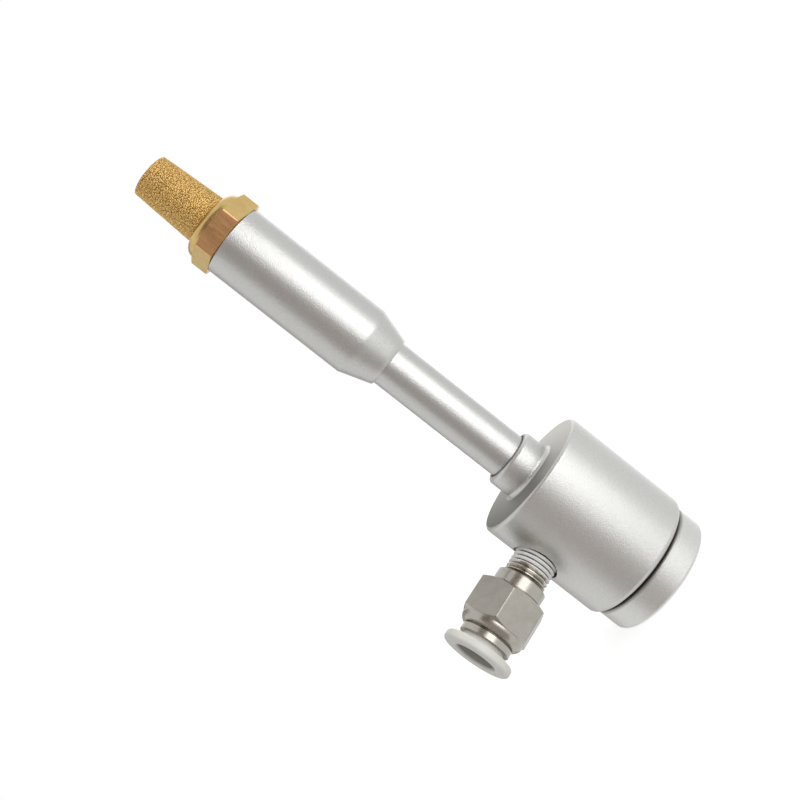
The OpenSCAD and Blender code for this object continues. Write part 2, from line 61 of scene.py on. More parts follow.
# Threads of the inlet and the cold outlet, pipe threads of 19 threads per inch
THREAD_PITCH = 1.337 * MM
THREAD_DEPTH = 0.856 * MM
THREAD_CREST_R = 13.157 / 2 * MM
THREAD_FLAT = 0.16  # share of a pitch that is flat at crest and root
THREAD_COLUMNS = 160
THREAD_ROWS_PER_PITCH = 16
THREAD_RUNOUT = 0.45 * MM
THREAD_ROOT_SHADE = 0.26  # share of the height, from the root up, that painted shade darkens
THREAD_BARE_SHADE = 0.85  # strength of that painted shade in roots that no sealant covers
RELIEF_LEN = 0.25 * MM  # plain groove between the thread and the collar
BRIDGE_LEN = 0.06 * MM
OUTLET_SINK = 0.15 * MM  # how far the outlet's countersink is wider than its thread
UPRIGHT = 0.5  # largest rise of the normal of a bore's wall
FLAT_TILT = 0.02  # largest tilt of a hexagon's flat along the inlet
FLAT_SHARE = 0.84  # least distance of a flat, as a share of the largest radius

# Thread sealant, as distances along the inlet
SEALANT_END = 24.5 * MM
SEALANT_SLANT = 0.5 * MM
SEALANT_RAGGED = 0.6 * MM
SEALANT_FADE = 0.25 * MM
SEALANT_FILM = 0.05 * MM
SEALANT_FOOT = (0.08, 0.26)  # heights on the thread between which it thins out
SEALANT_WAVES = (2, 3, 5, 9)  # waves of its ragged end in a turn
SEALANT_FRAYS = ((17, 0.12, 1.0), (31, 0.08, 2.0))  # short waves, heights and phases

# Sintered element
GRAIN_D = 0.44 * MM
GRAIN_CREST = 0.35  # share of a grain's radius that stands out of the cone
GRAIN_STEP = 0.125 * MM
GRAIN_COLUMNS = 352
GRAIN_ROW = 0.86  # distance of the rows in grain diameters
GRAIN_STRAY = (0.42, 0.4)  # largest stray along and across the rows
GRAIN_SPREAD = (0.9, 1.2)  # smallest and largest grain
GRAIN_SINK = 0.16  # largest depth of a sunk grain
PORE_FLOOR = 0.75  # depth of the pores in grain radii
PORE_EDGE = 0.72  # distance from a grain's middle at which the painted shade of its pore begins
PORE_FADE = 0.3
ELEMENT_WALL = 2.2 * MM
ELEMENT_SEAT_LEN = 4 * MM
ELEMENT_TIP_R = 6.8 * MM
ELEMENT_ROUND = 0.08 * MM
ELEMENT_ROUND_ROWS = 2

# Satin aluminium: its blast grain, the painted shade on its end faces from the inlet's side
# across, and the painted shade on the cap's edge at the groove
BLAST_SIZE = 0.3 * MM
BLAST_DEPTH = 0.045 * MM
WAVE_SIZE = 1.3 * MM
WAVE_DEPTH = 0.007 * MM
SATIN_ROUGH = (0.32, 0.4)
BLASTED_ROUGH = (0.36, 0.44)
END_RISE = (0.9, 0.99)  # rise of the normal from the sides to the end faces
# painted shade: the end faces run from dark on the inlet's side to light across
END_SHADE_SPAN = (-20 * MM, 16 * MM)
END_SHADE_COLOURS = ((0.15, 0.15, 0.13, 1), (0.6, 0.595, 0.565, 1))
END_ROUGH = (0.55, 0.55, 0.55, 1)
BOSS_REACH = (2 * MM, 1 * MM)  # below the boss's face, where its own colour begins
BOSS_COLOUR = (0.4, 0.4, 0.385, 1)
GROOVE_REACH = (1.9 * MM, 0.75 * MM)  # below the body, where painted shade darkens the cap's edge
GROOVE_SHADE_COLOUR = (0.2, 0.19, 0.17, 1)

# Shade in the hose's bore, by the distance from the inlet's axis
BORE_REACH = (6.25 * MM, 6.6 * MM)
BORE_COLOUR = (0.5, 0.475, 0.44, 1)

# Brown streaks on the brass hexagon, on the flat that faces this way
BROWN_FLAT_AZIMUTH = math.radians(243)
BROWN_FLAT_REACH = (10.4 * MM, 10.9 * MM)

# Joining and shading of the CAD patches
WELD_GAP = 0.001 * MM
EDGE_ANGLE = math.radians(34)

# Camera of the photograph
PHOTO_SIDE = 800
FOCAL_PX = 975.1
CENTRE_PX = (456.2, 371.3)
SENSOR_WIDTH = 36
CAMERA_AT = (-0.105441, -0.268685, 0.109445)
CAMERA_TURN = (82.749, 51.446, -29.184)

# Studio, with azimuths about the tube's axis counted from the camera's side
CAMERA_AZIMUTH = 246.5
AMBIENT = (0.44, 0.94)  # light on matt surfaces from the inlet's side and the other side
SOFTBOX_AZIMUTH = 40
SOFTBOX_DISTANCE = 0.6
SOFTBOX_SIZE = (0.6, 0.44)
SOFTBOX_RADIANCE = 1.7
SOFTBOX_ON_MATT = 0.34  # share of its light on surfaces that don't mirror it
SIDE_FLAG_AZIMUTH = -29
SIDE_FLAG_SIZE = (0.72, 1.2)
SIDE_FLAG_COLOUR = (0.52, 0.474, 0.45, 1)
TOP_FLAG_AZIMUTH = 8
TOP_FLAG_RISE = 44
TOP_FLAG_SIZE = (1.3, 0.4)
TOP_FLAG_COLOUR = (0.34, 0.28, 0.25, 1)
BACK_FLAG_AZIMUTH = 214
BACK_FLAG_SIZE = (0.3, 1.2)
BACK_FLAG_COLOUR = (0.5, 0.47, 0.45, 1)
BACK_CARD_AZIMUTH = 158
BACK_CARD_SIZE = (0.26, 1.2)
BACK_CARD_COLOUR = (1.5, 1.5, 1.5, 1)
FLAG_DISTANCE = 0.6
STUDIO_HEIGHT = 0.1
FLOOR_SIZE = 6
FLOOR_DROP = 0.0002
FLOOR_GLOW = 0.62
FLOOR_TONE = 0.7


# Shader helpers


def add(tree, kind, inputs=None, **settings):
    """A shader node with its inputs set to values or linked to sockets."""
    node = tree.nodes.new("ShaderNode" + kind)
    for name, value in settings.items():
        setattr(node, name, value)
    for name, value in (inputs or {}).items():
        if isinstance(value, bpy.types.NodeSocket):
            tree.links.new(value, node.inputs[name])
        else:
            node.inputs[name].default_value = value
    return node


def new_material(name, **sockets):
    """A material with the given values on its main shader, and its tree and shader."""
    made = bpy.data.materials.new(name)
    made.use_nodes = True
    shader = made.node_tree.nodes["Principled BSDF"]
    for socket, value in sockets.items():
        shader.inputs[socket.replace("_", " ")].default_value = value
    return made, made.node_tree, shader


def position(tree, stretch=(1, 1, 1)):
    """Object position, stretched along its axes."""
    place = add(tree, "TexCoord").outputs["Object"]
    return add(tree, "Mapping", {"Vector": place, "Scale": stretch}).outputs["Vector"]


def noise(tree, size, stretch=(1, 1, 1), detail=2.0, rough=0.5):
    """Noise whose features are about the given size in metres."""
    made = add(
        tree,
        "TexNoise",
        {
            "Vector": position(tree, stretch),
            "Scale": 1 / size,
            "Detail": detail,
            "Roughness": rough,
        },
    )
    return made.outputs["Fac"]


def between(tree, value, low, high, from_low=0.3, from_high=0.7):
    """A value carried from one range to another."""
    made = add(
        tree,
        "MapRange",
        {
            "Value": value,
            "From Min": from_low,
            "From Max": from_high,
            "To Min": low,
            "To Max": high,
        },
    )
    return made.outputs["Result"]


def tint(tree, value, dark, light):
    """A colour between two, by a value from 0 to 1."""
    made = add(tree, "MixRGB", {"Fac": value, "Color1": dark, "Color2": light})
    return made.outputs["Color"]


def bump(tree, shader, height, depth, below=None):
    """Relief of the given depth in metres on a shader."""
    made = add(tree, "Bump", {"Height": height, "Distance": depth})
    if below is not None:
        tree.links.new(below.outputs["Normal"], made.inputs["Normal"])
    tree.links.new(made.outputs["Normal"], shader.inputs["Normal"])
    return made


def feed(tree, shader, **sockets):
    """Links sockets into a shader's inputs."""
    for name, socket in sockets.items():
        tree.links.new(socket, shader.inputs[name.replace("_", " ")])


# Materials


def satin_aluminium(name, tone, relief=1.0, rough=SATIN_ROUGH):
    """Bead-blasted, clear anodised aluminium; painted shade darkens its end faces towards the
    inlet's side, apart from the boss.
    """
    made, tree, shader = new_material(name, Metallic=1.0)
    cloud = between(tree, noise(tree, 0.5 * MM, detail=4, rough=0.7), 0, 1, 0.25, 0.75)
    dark = (0.46 * tone, 0.46 * tone, 0.445 * tone, 1)
    light = (0.57 * tone, 0.57 * tone, 0.555 * tone, 1)
    side = tint(tree, cloud, dark, light)
    place = add(tree, "TexCoord").outputs["Object"]
    axes = add(tree, "SeparateXYZ", {"Vector": place}).outputs
    # painted shade: the end faces darken towards the inlet's side
    shade_drift = between(tree, axes["X"], 0, 1, *END_SHADE_SPAN)
    face = tint(tree, shade_drift, *END_SHADE_COLOURS)
    boss_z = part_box("vortex_body")[1].z
    boss = between(tree, axes["Z"], 0, 1, *(boss_z - reach for reach in BOSS_REACH))
    end = tint(tree, boss, face, BOSS_COLOUR)
    facing = add(tree, "NewGeometry").outputs["True Normal"]
    along = add(tree, "SeparateXYZ", {"Vector": facing}).outputs["Z"]
    ends = add(tree, "Math", {0: along}, operation="ABSOLUTE").outputs[0]
    flat = between(tree, ends, 0, 1, *END_RISE)
    skin = between(tree, noise(tree, 0.6 * MM, detail=3), *rough)
    feed(
        tree,
        shader,
        Base_Color=tint(tree, flat, side, end),
        Roughness=tint(tree, flat, skin, END_ROUGH),
    )
    blast = bump(tree, shader, noise(tree, BLAST_SIZE, detail=0), BLAST_DEPTH * relief)
    wave = noise(tree, WAVE_SIZE, detail=1)
    bump(tree, shader, wave, WAVE_DEPTH * relief, below=blast)
    return made


def cap_aluminium():
    """Satin aluminium darkened by painted shade towards the groove below the body."""
    made = satin_aluminium("cap_aluminium", 1.2, rough=BLASTED_ROUGH)
    tree = made.node_tree
    shader = tree.nodes["Principled BSDF"]
    unshaded = shader.inputs["Base Color"].links[0].from_socket
    height = add(tree, "SeparateXYZ", {"Vector": position(tree)}).outputs["Z"]
    body_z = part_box("vortex_body")[0].z
    # painted shade on the cap's edge next to the groove
    shade_share = between(tree, height, 0, 1, *(body_z - reach for reach in GROOVE_REACH))
    feed(tree, shader, Base_Color=tint(tree, shade_share, unshaded, GROOVE_SHADE_COLOUR))
    return made


def nickel(name, tone, rough, streak, depth):
    """Nickel plate of a given tone with fine lines along the given stretch."""
    made, tree, shader = new_material(name, Metallic=1.0)
    cloud = between(tree, noise(tree, 3 * MM, detail=4), 0, 1)
    lines = noise(tree, 0.14 * MM, stretch=streak, detail=2)
    dark = (0.9 * tone, 0.84 * tone, 0.74 * tone, 1)
    light = (1.03 * tone, 0.98 * tone, 0.9 * tone, 1)
    feed(
        tree,
        shader,
        Base_Color=tint(tree, cloud, dark, light),
        Roughness=between(tree, lines, rough * 0.8, rough * 1.25),
    )
    bump(tree, shader, lines, depth)
    return made


def sealed_thread():
    """Plated thread with white sealant where the mesh says so, and painted shade in its
    roots.
    """
    made = nickel("sealed_thread", 0.66, 0.22, (1, 1, 1), 0.002 * MM)
    tree = made.node_tree
    shader = tree.nodes["Principled BSDF"]
    unshaded = shader.inputs["Base Color"].links[0].from_socket
    # painted shade: the plate darkens towards the thread's roots
    root = add(tree, "Attribute", attribute_name="root").outputs["Fac"]
    shaded_plate = tint(tree, root, unshaded, (0.1, 0.095, 0.085, 1))
    rough = shader.inputs["Roughness"].links[0].from_socket
    white = add(tree, "Attribute", attribute_name="sealant").outputs["Fac"]
    crumb = between(tree, noise(tree, 0.3 * MM, detail=3), 0.86, 1.0)
    paste = tint(tree, crumb, (0.65, 0.64, 0.62, 1), (0.95, 0.945, 0.93, 1))
    metal = add(tree, "Math", {0: 1.0, 1: white}, operation="SUBTRACT").outputs[0]
    feed(
        tree,
        shader,
        Base_Color=add(
            tree, "MixRGB", {"Fac": white, "Color1": shaded_plate, "Color2": paste}
        ).outputs["Color"],
        Metallic=metal,
        Roughness=add(
            tree, "MixRGB", {"Fac": white, "Color1": rough, "Color2": (0.6, 0.6, 0.6, 1)}
        ).outputs["Color"],
    )
    return made


def hexagon_brass():
    """Drawn brass bar with lines along its flats, one of them brown in streaks."""
    made, tree, shader = new_material("hexagon_brass", Metallic=1.0)
    cloud = between(tree, noise(tree, 2.5 * MM, detail=4), 0, 1)
    lines = noise(tree, 0.14 * MM, stretch=(1, 1, 0.06), detail=3)
    brass = tint(tree, cloud, (0.56, 0.385, 0.14, 1), (0.62, 0.455, 0.18, 1))
    handled = (math.cos(BROWN_FLAT_AZIMUTH), math.sin(BROWN_FLAT_AZIMUTH), 0)
    side = add(
        tree, "VectorMath", {0: position(tree), 1: handled}, operation="DOT_PRODUCT"
    )
    reach = between(tree, side.outputs["Value"], 0, 1, *BROWN_FLAT_REACH)
    patchy = between(tree, noise(tree, 1.6 * MM, detail=4), 0.55, 0.9)
    drawn = noise(tree, 0.8 * MM, stretch=(1, 1, 0.08), detail=3, rough=0.6)
    streak = between(tree, drawn, 0, 1, 0.36, 0.64)
    brown = tint(tree, streak, (0.47, 0.235, 0.115, 1), (0.72, 0.38, 0.195, 1))
    # brown streaks on the flat that faces the given way
    brown_share = add(tree, "Math", {0: reach, 1: patchy}, operation="MULTIPLY").outputs[0]
    feed(
        tree,
        shader,
        Base_Color=tint(tree, brown_share, brass, brown),
        Roughness=between(tree, lines, 0.2, 0.34),
    )
    bump(tree, shader, lines, 0.004 * MM)
    return made


def turned_brass():
    """Brass with turning lines round the tube's axis."""
    made, tree, shader = new_material("turned_brass", Metallic=1.0)
    lines = noise(tree, 0.1 * MM, stretch=(0.05, 0.05, 1), detail=2)
    feed(
        tree,
        shader,
        Base_Color=tint(
            tree,
            between(tree, lines, 0, 1),
            (0.58, 0.42, 0.17, 1),
            (0.68, 0.52, 0.24, 1),
        ),
        Roughness=between(tree, lines, 0.22, 0.36),
    )
    bump(tree, shader, lines, 0.004 * MM)
    return made


def sintered_bronze():
    """Bronze grains, with painted shade in the pores between them."""
    made, tree, shader = new_material("sintered_bronze", Metallic=1.0)
    grain = add(tree, "Attribute", attribute_name="grain").outputs["Fac"]
    pore = add(tree, "Attribute", attribute_name="pore").outputs["Fac"]
    bronze = tint(tree, grain, (0.67, 0.42, 0.13, 1), (0.9, 0.65, 0.27, 1))
    feed(
        tree,
        shader,
        # painted shade in the pores between the grains
        Base_Color=tint(tree, pore, bronze, (0.34, 0.19, 0.055, 1)),
        Roughness=between(tree, grain, 0.4, 0.6, 0, 1),
    )
    bump(tree, shader, noise(tree, 0.09 * MM, detail=2), 0.006 * MM)
    return made


def spring_steel():
    """Rolled strip with fine lines."""
    made, tree, shader = new_material("spring_steel", Metallic=1.0)
    lines = noise(tree, 0.1 * MM, stretch=(1, 0.1, 1), detail=2)
    feed(
        tree,
        shader,
        Base_Color=tint(tree, lines, (0.42, 0.42, 0.42, 1), (0.56, 0.56, 0.55, 1)),
        Roughness=between(tree, lines, 0.24, 0.36),
    )
    bump(tree, shader, lines, 0.003 * MM)
    return made


def pale_plastic():
    """Moulded off-white plastic with a satin skin, darker in the hose's bore."""
    made, tree, shader = new_material(
        "pale_plastic", Subsurface_Weight=0.15, Subsurface_Scale=0.6 * MM
    )
    shader.inputs["Subsurface Radius"].default_value = (1.0, 0.9, 0.8)
    cloud = between(tree, noise(tree, 4 * MM, detail=3), 0, 1)
    skin = tint(tree, cloud, (0.74, 0.72, 0.67, 1), (0.79, 0.77, 0.72, 1))
    low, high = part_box("release_ring")
    axis = (0, 0, (low.z + high.z) / 2)
    away = add(
        tree, "VectorMath", {0: position(tree), 1: axis}, operation="SUBTRACT"
    ).outputs[0]
    across = add(
        tree, "VectorMath", {0: away, 1: (0, 1, 1)}, operation="MULTIPLY"
    ).outputs[0]
    radius = add(tree, "VectorMath", {0: across}, operation="LENGTH").outputs["Value"]
    feed(
        tree,
        shader,
        Base_Color=tint(
            tree, between(tree, radius, 0, 1, *BORE_REACH), BORE_COLOUR, skin
        ),
        Roughness=between(tree, noise(tree, 0.5 * MM, detail=2), 0.38, 0.5),
    )
    bump(tree, shader, noise(tree, 0.25 * MM, detail=2), 0.004 * MM)
    return made


def black_rubber():
    """Smooth black seal rubber."""
    made, tree, shader = new_material("black_rubber")
    dust = between(tree, noise(tree, 0.8 * MM, detail=3), 0, 1)
    feed(
        tree,
        shader,
        Base_Color=tint(tree, dust, (0.012, 0.012, 0.012, 1), (0.03, 0.03, 0.03, 1)),
        Roughness=between(tree, dust, 0.45, 0.6, 0, 1),
    )
    bump(tree, shader, noise(tree, 0.2 * MM), 0.004 * MM)
    return made


LOOKS = {
    "satin_aluminium": satin_aluminium("satin_aluminium", 1.0),
    "body_aluminium": satin_aluminium("body_aluminium", 1.1, rough=BLASTED_ROUGH),
    "cap_aluminium": cap_aluminium(),
    "cut_aluminium": satin_aluminium("cut_aluminium", 1.1, relief=0.1),
    "nickel_plate": nickel("nickel_plate", 0.43, 0.25, (1, 0.05, 0.05), 0.003 * MM),
    "nickel_flat": nickel("nickel_flat", 0.385, 0.32, (0.3, 1, 1), 0.012 * MM),
    "sealed_thread": sealed_thread(),
    "hexagon_brass": hexagon_brass(),
    "turned_brass": turned_brass(),
    "sintered_bronze": sintered_bronze(),
    "spring_steel": spring_steel(),
    "pale_plastic": pale_plastic(),
    "black_rubber": black_rubber(),
}
NODE_LOOKS = {"vortex_body": "body_aluminium", "cold_end_cap": "cap_aluminium"}


# Shapes


def soften(piece):
    """Joins the CAD patches of a piece and shades its small roundings as one curve."""
    weld = piece.modifiers.new("join_patches", "WELD")
    weld.merge_threshold = WELD_GAP
    split = piece.modifiers.new("keep_edges", "EDGE_SPLIT")
    split.split_angle = EDGE_ANGLE
    even = piece.modifiers.new("even_shading", "WEIGHTED_NORMAL")
    even.mode = "FACE_AREA"


def new_piece(name, mesh, body, node):
    """Puts a mesh on a body, in place of a CAD node."""
    piece = bpy.data.objects.new(name, mesh)
    bpy.context.scene.collection.objects.link(piece)
    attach(piece, body)
    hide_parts(node)
    return piece


def ring_faces(bm, first, second):
    """Quads between two rings of as many vertices."""
    count = len(first)
    for i in range(count):
        j = (i + 1) % count
        bm.faces.new((first[i], first[j], second[j], second[i]))


def inlet_axis_z():
    """Height of the inlet's axis."""
    low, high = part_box("release_ring")
    return (low.z + high.z) / 2


def thread_height(s, angle):
    """Height of the thread above its root, from 0 to 1."""
    phase = (s / THREAD_PITCH - angle / math.tau) % 1
    ridge = 1 - abs(2 * phase - 1)
    return min(max((ridge - THREAD_FLAT) / (1 - 2 * THREAD_FLAT), 0), 1)


def sealant_cover(s, angle, waves):
    """How much sealant lies on the thread at a place, from 0 to 1."""
    ragged = sum(a * math.sin(n * angle + p) for n, a, p in waves)
    end = SEALANT_END - SEALANT_SLANT * math.sin(angle) + SEALANT_RAGGED * ragged
    return min(max((end - s) / SEALANT_FADE, 0), 1)


def drop_normals(mesh):
    """Removes stored normals from a mesh that was copied from a CAD node."""
    stored = mesh.attributes.get("custom_normal")
    if stored is not None:
        mesh.attributes.remove(stored)


def open_edges(ring):
    """Edges round a ring of vertices that have a face on one side only."""
    return list({e for v in ring for e in v.link_edges if e.is_boundary})


def threaded_piece(name, bm, looks, node):
    """Puts a threaded mesh in place of a CAD node and shades it between its edges."""
    mesh = bpy.data.meshes.new(node)
    bm.to_mesh(mesh)
    bm.free()
    drop_normals(mesh)
    for look in looks:
        mesh.materials.append(LOOKS[look])
    mesh.set_sharp_from_angle(angle=EDGE_ANGLE)
    piece = new_piece(name, mesh, "tube_assembly", node)
    even = piece.modifiers.new("even_shading", "WEIGHTED_NORMAL")
    even.mode = "FACE_AREA"
    even.keep_sharp = True


def threaded_fitting():
    """The fitting's CAD mesh with its row of rings replaced by a cut thread."""
    axis_z = inlet_axis_z()
    bm = bmesh.new()
    bm.from_mesh(nodes["fitting_body"].data)
    bmesh.ops.remove_doubles(bm, verts=bm.verts, dist=WELD_GAP)

    def radius(v):
        return math.hypot(v.co.y, v.co.z - axis_z)

    start = -max(v.co.x for v in bm.verts)
    collar = min(-v.co.x for v in bm.verts if radius(v) > THREAD_CREST_R + THREAD_DEPTH / 2)
    bore_r = min(radius(v) for v in bm.verts if -v.co.x < start + WELD_GAP)
    root_r = THREAD_CREST_R - THREAD_DEPTH
    end = collar - RELIEF_LEN
    bmesh.ops.bisect_plane(
        bm,
        geom=bm.verts[:] + bm.edges[:] + bm.faces[:],
        plane_co=(-end, 0, 0),
        plane_no=(1, 0, 0),
        clear_outer=True,
    )
    cover = bm.verts.layers.float.new("sealant")
    root = bm.verts.layers.float.new("root")
    head_edges = [e for e in bm.edges if e.is_boundary]
    outer_head = [e for e in head_edges if radius(e.verts[0]) > (root_r + bore_r) / 2]
    inner_head = [e for e in head_edges if e not in outer_head]

    rng = np.random.default_rng(SEED)
    phases = rng.uniform(0, math.tau, len(SEALANT_WAVES))
    waves = [(n, 1 / n, p) for n, p in zip(SEALANT_WAVES, phases)]
    waves += SEALANT_FRAYS
    angles = [math.tau * i / THREAD_COLUMNS for i in range(THREAD_COLUMNS)]
    last = end - BRIDGE_LEN
    rows = round((last - start) / THREAD_PITCH * THREAD_ROWS_PER_PITCH)

    def vertex(s, r, angle):
        return bm.verts.new(
            (-s, r * math.cos(angle), axis_z - r * math.sin(angle))
        )

    rings = []
    for i in range(rows + 1):
        s = start + (last - start) * i / rows
        ends = min((s - start), (last - s)) / THREAD_RUNOUT
        ring = []
        for angle in angles:
            height = thread_height(s, angle) * min(ends, 1)
            foot, full = SEALANT_FOOT
            white = min(max((height - foot) / (full - foot), 0), 1)
            sealed = sealant_cover(s, angle, waves)
            white *= sealed
            v = vertex(s, root_r + THREAD_DEPTH * height + SEALANT_FILM * white, angle)
            v[cover] = white
            # painted shade in the roots, a little weaker where no sealant lies
            shade_share = THREAD_BARE_SHADE + (1 - THREAD_BARE_SHADE) * sealed
            v[root] = max(1 - height / THREAD_ROOT_SHADE, 0) * shade_share
            ring.append(v)
        rings.append(ring)
    for first, second in zip(rings, rings[1:]):
        ring_faces(bm, first, second)
    bore_start = [vertex(start, bore_r, a) for a in angles]
    bore_end = [vertex(last, bore_r, a) for a in angles]
    ring_faces(bm, bore_start, rings[0])
    ring_faces(bm, bore_end, bore_start)
    bmesh.ops.bridge_loops(bm, edges=outer_head + open_edges(rings[-1]))
    bmesh.ops.bridge_loops(bm, edges=inner_head + open_edges(bore_end))
    bmesh.ops.recalc_face_normals(bm, faces=bm.faces)

    across = max(radius(v) for v in bm.verts)
    for face in bm.faces:
        face.smooth = True
        centre = face.calc_center_median()
        level = abs(face.normal.x) < FLAT_TILT and -centre.x > collar
        off_axis = abs(Vector((0, centre.y, centre.z - axis_z)).dot(face.normal))
        if -centre.x < end:
            face.material_index = 2
        elif level and off_axis > across * FLAT_SHARE:
            face.material_index = 1
        else:
            face.material_index = 0
    threaded_piece(
        "threaded_fitting",
        bm,
        ("nickel_plate", "nickel_flat", "sealed_thread"),
        "fitting_body",
    )


def threaded_cap():
    """The cap's CAD mesh with a cut thread in its outlet."""
    outlet = next(m for m in frame["record"]["mounts"] if m["name"] == "cold_outlet")
    minor_r = outlet["dims"]["r_mm"] * MM
    length = outlet["dims"]["length_mm"] * MM
    mouth_r = minor_r + THREAD_DEPTH + OUTLET_SINK
    bm = bmesh.new()
    bm.from_mesh(nodes["cold_end_cap"].data)
    bmesh.ops.remove_doubles(bm, verts=bm.verts, dist=WELD_GAP)

    def on_bore(face):
        off = [abs(math.hypot(v.co.x, v.co.y) - minor_r) for v in face.verts]
        return abs(face.normal.z) < UPRIGHT and max(off) < THREAD_DEPTH / 10

    bore = [f for f in bm.faces if on_bore(f)]
    bmesh.ops.delete(bm, geom=bore, context="FACES")
    rims = [e for e in bm.edges if e.is_boundary]
    mouth = [e for e in rims if e.verts[0].co.z < length / 2]
    inner = [e for e in rims if e.verts[0].co.z > length / 2]
    for v in {v for e in mouth for v in e.verts}:
        v.co.xy *= mouth_r / minor_r

    angles = [math.tau * i / THREAD_COLUMNS for i in range(THREAD_COLUMNS)]
    first, last = BRIDGE_LEN, length - BRIDGE_LEN
    rows = round((last - first) / THREAD_PITCH * THREAD_ROWS_PER_PITCH)
    rings = []
    for i in range(rows + 1):
        z = first + (last - first) * i / rows
        runout = min((last - z) / THREAD_PITCH, 1)
        ring = []
        for angle in angles:
            r = minor_r + THREAD_DEPTH * thread_height(z, angle) * runout
            r = max(r, mouth_r - z)
            ring.append(bm.verts.new((r * math.cos(angle), r * math.sin(angle), z)))
        rings.append(ring)
    kept = set(bm.faces)
    for low, high in zip(rings, rings[1:]):
        ring_faces(bm, low, high)
    bmesh.ops.bridge_loops(bm, edges=mouth + open_edges(rings[0]))
    bmesh.ops.bridge_loops(bm, edges=inner + open_edges(rings[-1]))
    bmesh.ops.recalc_face_normals(bm, faces=bm.faces)
    for face in bm.faces:
        face.smooth = True
        face.material_index = 0 if face in kept else 1
    looks = ("cap_aluminium", "cut_aluminium")
    threaded_piece("threaded_cap", bm, looks, "cold_end_cap")


def element_outline():
    """Outer outline of the element as [radius, height] rows, a grain step apart."""
    low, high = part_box("silencer_element")
    foot_r = (high.x - low.x) / 2
    shown = low.z + ELEMENT_SEAT_LEN
    corner = high.z - ELEMENT_ROUND
    corner_r = ELEMENT_TIP_R - ELEMENT_ROUND
    side_rows = round((corner - shown) / GRAIN_STEP)
    tip_rows = round(corner_r / GRAIN_STEP)
    arc_rows = ELEMENT_ROUND_ROWS
    side = [
        (
            foot_r + (ELEMENT_TIP_R - foot_r) * i / side_rows,
            shown + (corner - shown) * i / side_rows,
        )
        for i in range(side_rows)
    ]
    arc = [
        (
            corner_r + ELEMENT_ROUND * math.cos(math.pi / 2 * i / arc_rows),
            corner + ELEMENT_ROUND * math.sin(math.pi / 2 * i / arc_rows),
        )
        for i in range(arc_rows)
    ]
    tip = [(corner_r * (1 - i / tip_rows), high.z) for i in range(tip_rows)]
    return [(foot_r, low.z)] + side + arc + tip


def grain_centres(outline, rng):
    """Places of the grains: staggered rows over the outline, each a little off its place."""
    along, across = GRAIN_STRAY
    places = []
    travelled = 0
    for (r0, z0), (r1, z1) in zip(outline[1:], outline[2:]):
        travelled += math.hypot(r1 - r0, z1 - z0)
        if travelled < GRAIN_D * GRAIN_ROW:
            continue
        travelled = 0
        count = max(1, round(math.tau * r1 / GRAIN_D))
        turn = rng.uniform(0, math.tau)
        for i in range(count):
            a = turn + math.tau * (i + rng.uniform(-along, along)) / count
            r = r1 + rng.uniform(-across, across) * GRAIN_D * (z0 == z1)
            z = z1 + rng.uniform(-across, across) * GRAIN_D * (z0 != z1)
            places.append((r * math.cos(a), r * math.sin(a), z))
    return places


def sintered_element():
    """The silencer's element as a cup whose outside is made of small grains."""
    rng = np.random.default_rng(SEED)
    outline = element_outline()
    centres = grain_centres(outline, rng)
    tree = kdtree.KDTree(len(centres))
    for i, place in enumerate(centres):
        tree.insert(place, i)
    tree.balance()
    size = rng.uniform(*GRAIN_SPREAD, len(centres)) * GRAIN_D / 2
    sink = rng.uniform(0, GRAIN_SINK, len(centres)) * GRAIN_D
    shade = rng.uniform(0, 1, len(centres))

    low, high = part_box("silencer_element")
    bm = bmesh.new()
    grain = bm.verts.layers.float.new("grain")
    pore = bm.verts.layers.float.new("pore")
    angles = [math.tau * i / GRAIN_COLUMNS for i in range(GRAIN_COLUMNS)]
    rings = []
    for k, (r, z) in enumerate(outline):
        r0, z0 = outline[max(k - 1, 0)]
        r1, z1 = outline[min(k + 1, len(outline) - 1)]
        run = math.hypot(r1 - r0, z1 - z0)
        out_r, out_z = (z1 - z0) / run, (r0 - r1) / run
        ring = []
        for a in angles:
            place = Vector((r * math.cos(a), r * math.sin(a), z))
            out = Vector((out_r * math.cos(a), out_r * math.sin(a), out_z))
            _, i, gap = tree.find(place)
            ball = size[i]
            crest = GRAIN_CREST * (1 - out_z) if k > 1 else 0
            dome = math.sqrt(max(ball * ball - gap * gap, 0))
            rise = max(dome - ball * (1 - crest) - sink[i], -PORE_FLOOR * ball)
            v = bm.verts.new(place + out * rise if k else place)
            v[grain] = shade[i]
            v[pore] = min(max((gap / ball - PORE_EDGE) / PORE_FADE, 0), 1)
            ring.append(v)
        rings.append(ring)
    for first, second in zip(rings, rings[1:]):
        ring_faces(bm, first, second)
    centre = bm.verts.new((0, 0, high.z - GRAIN_D / 4))
    for i in range(GRAIN_COLUMNS):
        bm.faces.new((rings[-1][i], rings[-1][(i + 1) % GRAIN_COLUMNS], centre))
    inner = [
        (outline[0][0] - ELEMENT_WALL, low.z),
        (ELEMENT_TIP_R - ELEMENT_WALL, high.z - ELEMENT_WALL),
    ]
    hollow = [
        [bm.verts.new((r * math.cos(a), r * math.sin(a), z)) for a in angles]
        for r, z in inner
    ]
    ring_faces(bm, hollow[0], rings[0])
    ring_faces(bm, hollow[1], hollow[0])
    bm.faces.new(hollow[1])
    bmesh.ops.recalc_face_normals(bm, faces=bm.faces)
    for face in bm.faces:
        face.smooth = True
    mesh = bpy.data.meshes.new("silencer_element")
    bm.to_mesh(mesh)
    bm.free()
    mesh.materials.append(LOOKS["sintered_bronze"])
    new_piece(
        "sintered_element", mesh, "tube_assembly", "silencer_element"
    )


for part in frame["record"]["subparts"]:
    cad = nodes[part["node"]]
    look = NODE_LOOKS.get(part["node"], part["material_slot"])
    cad.material_slots[0].material = LOOKS[look]
    soften(cad)
threaded_fitting()
threaded_cap()
sintered_element()


# Studio


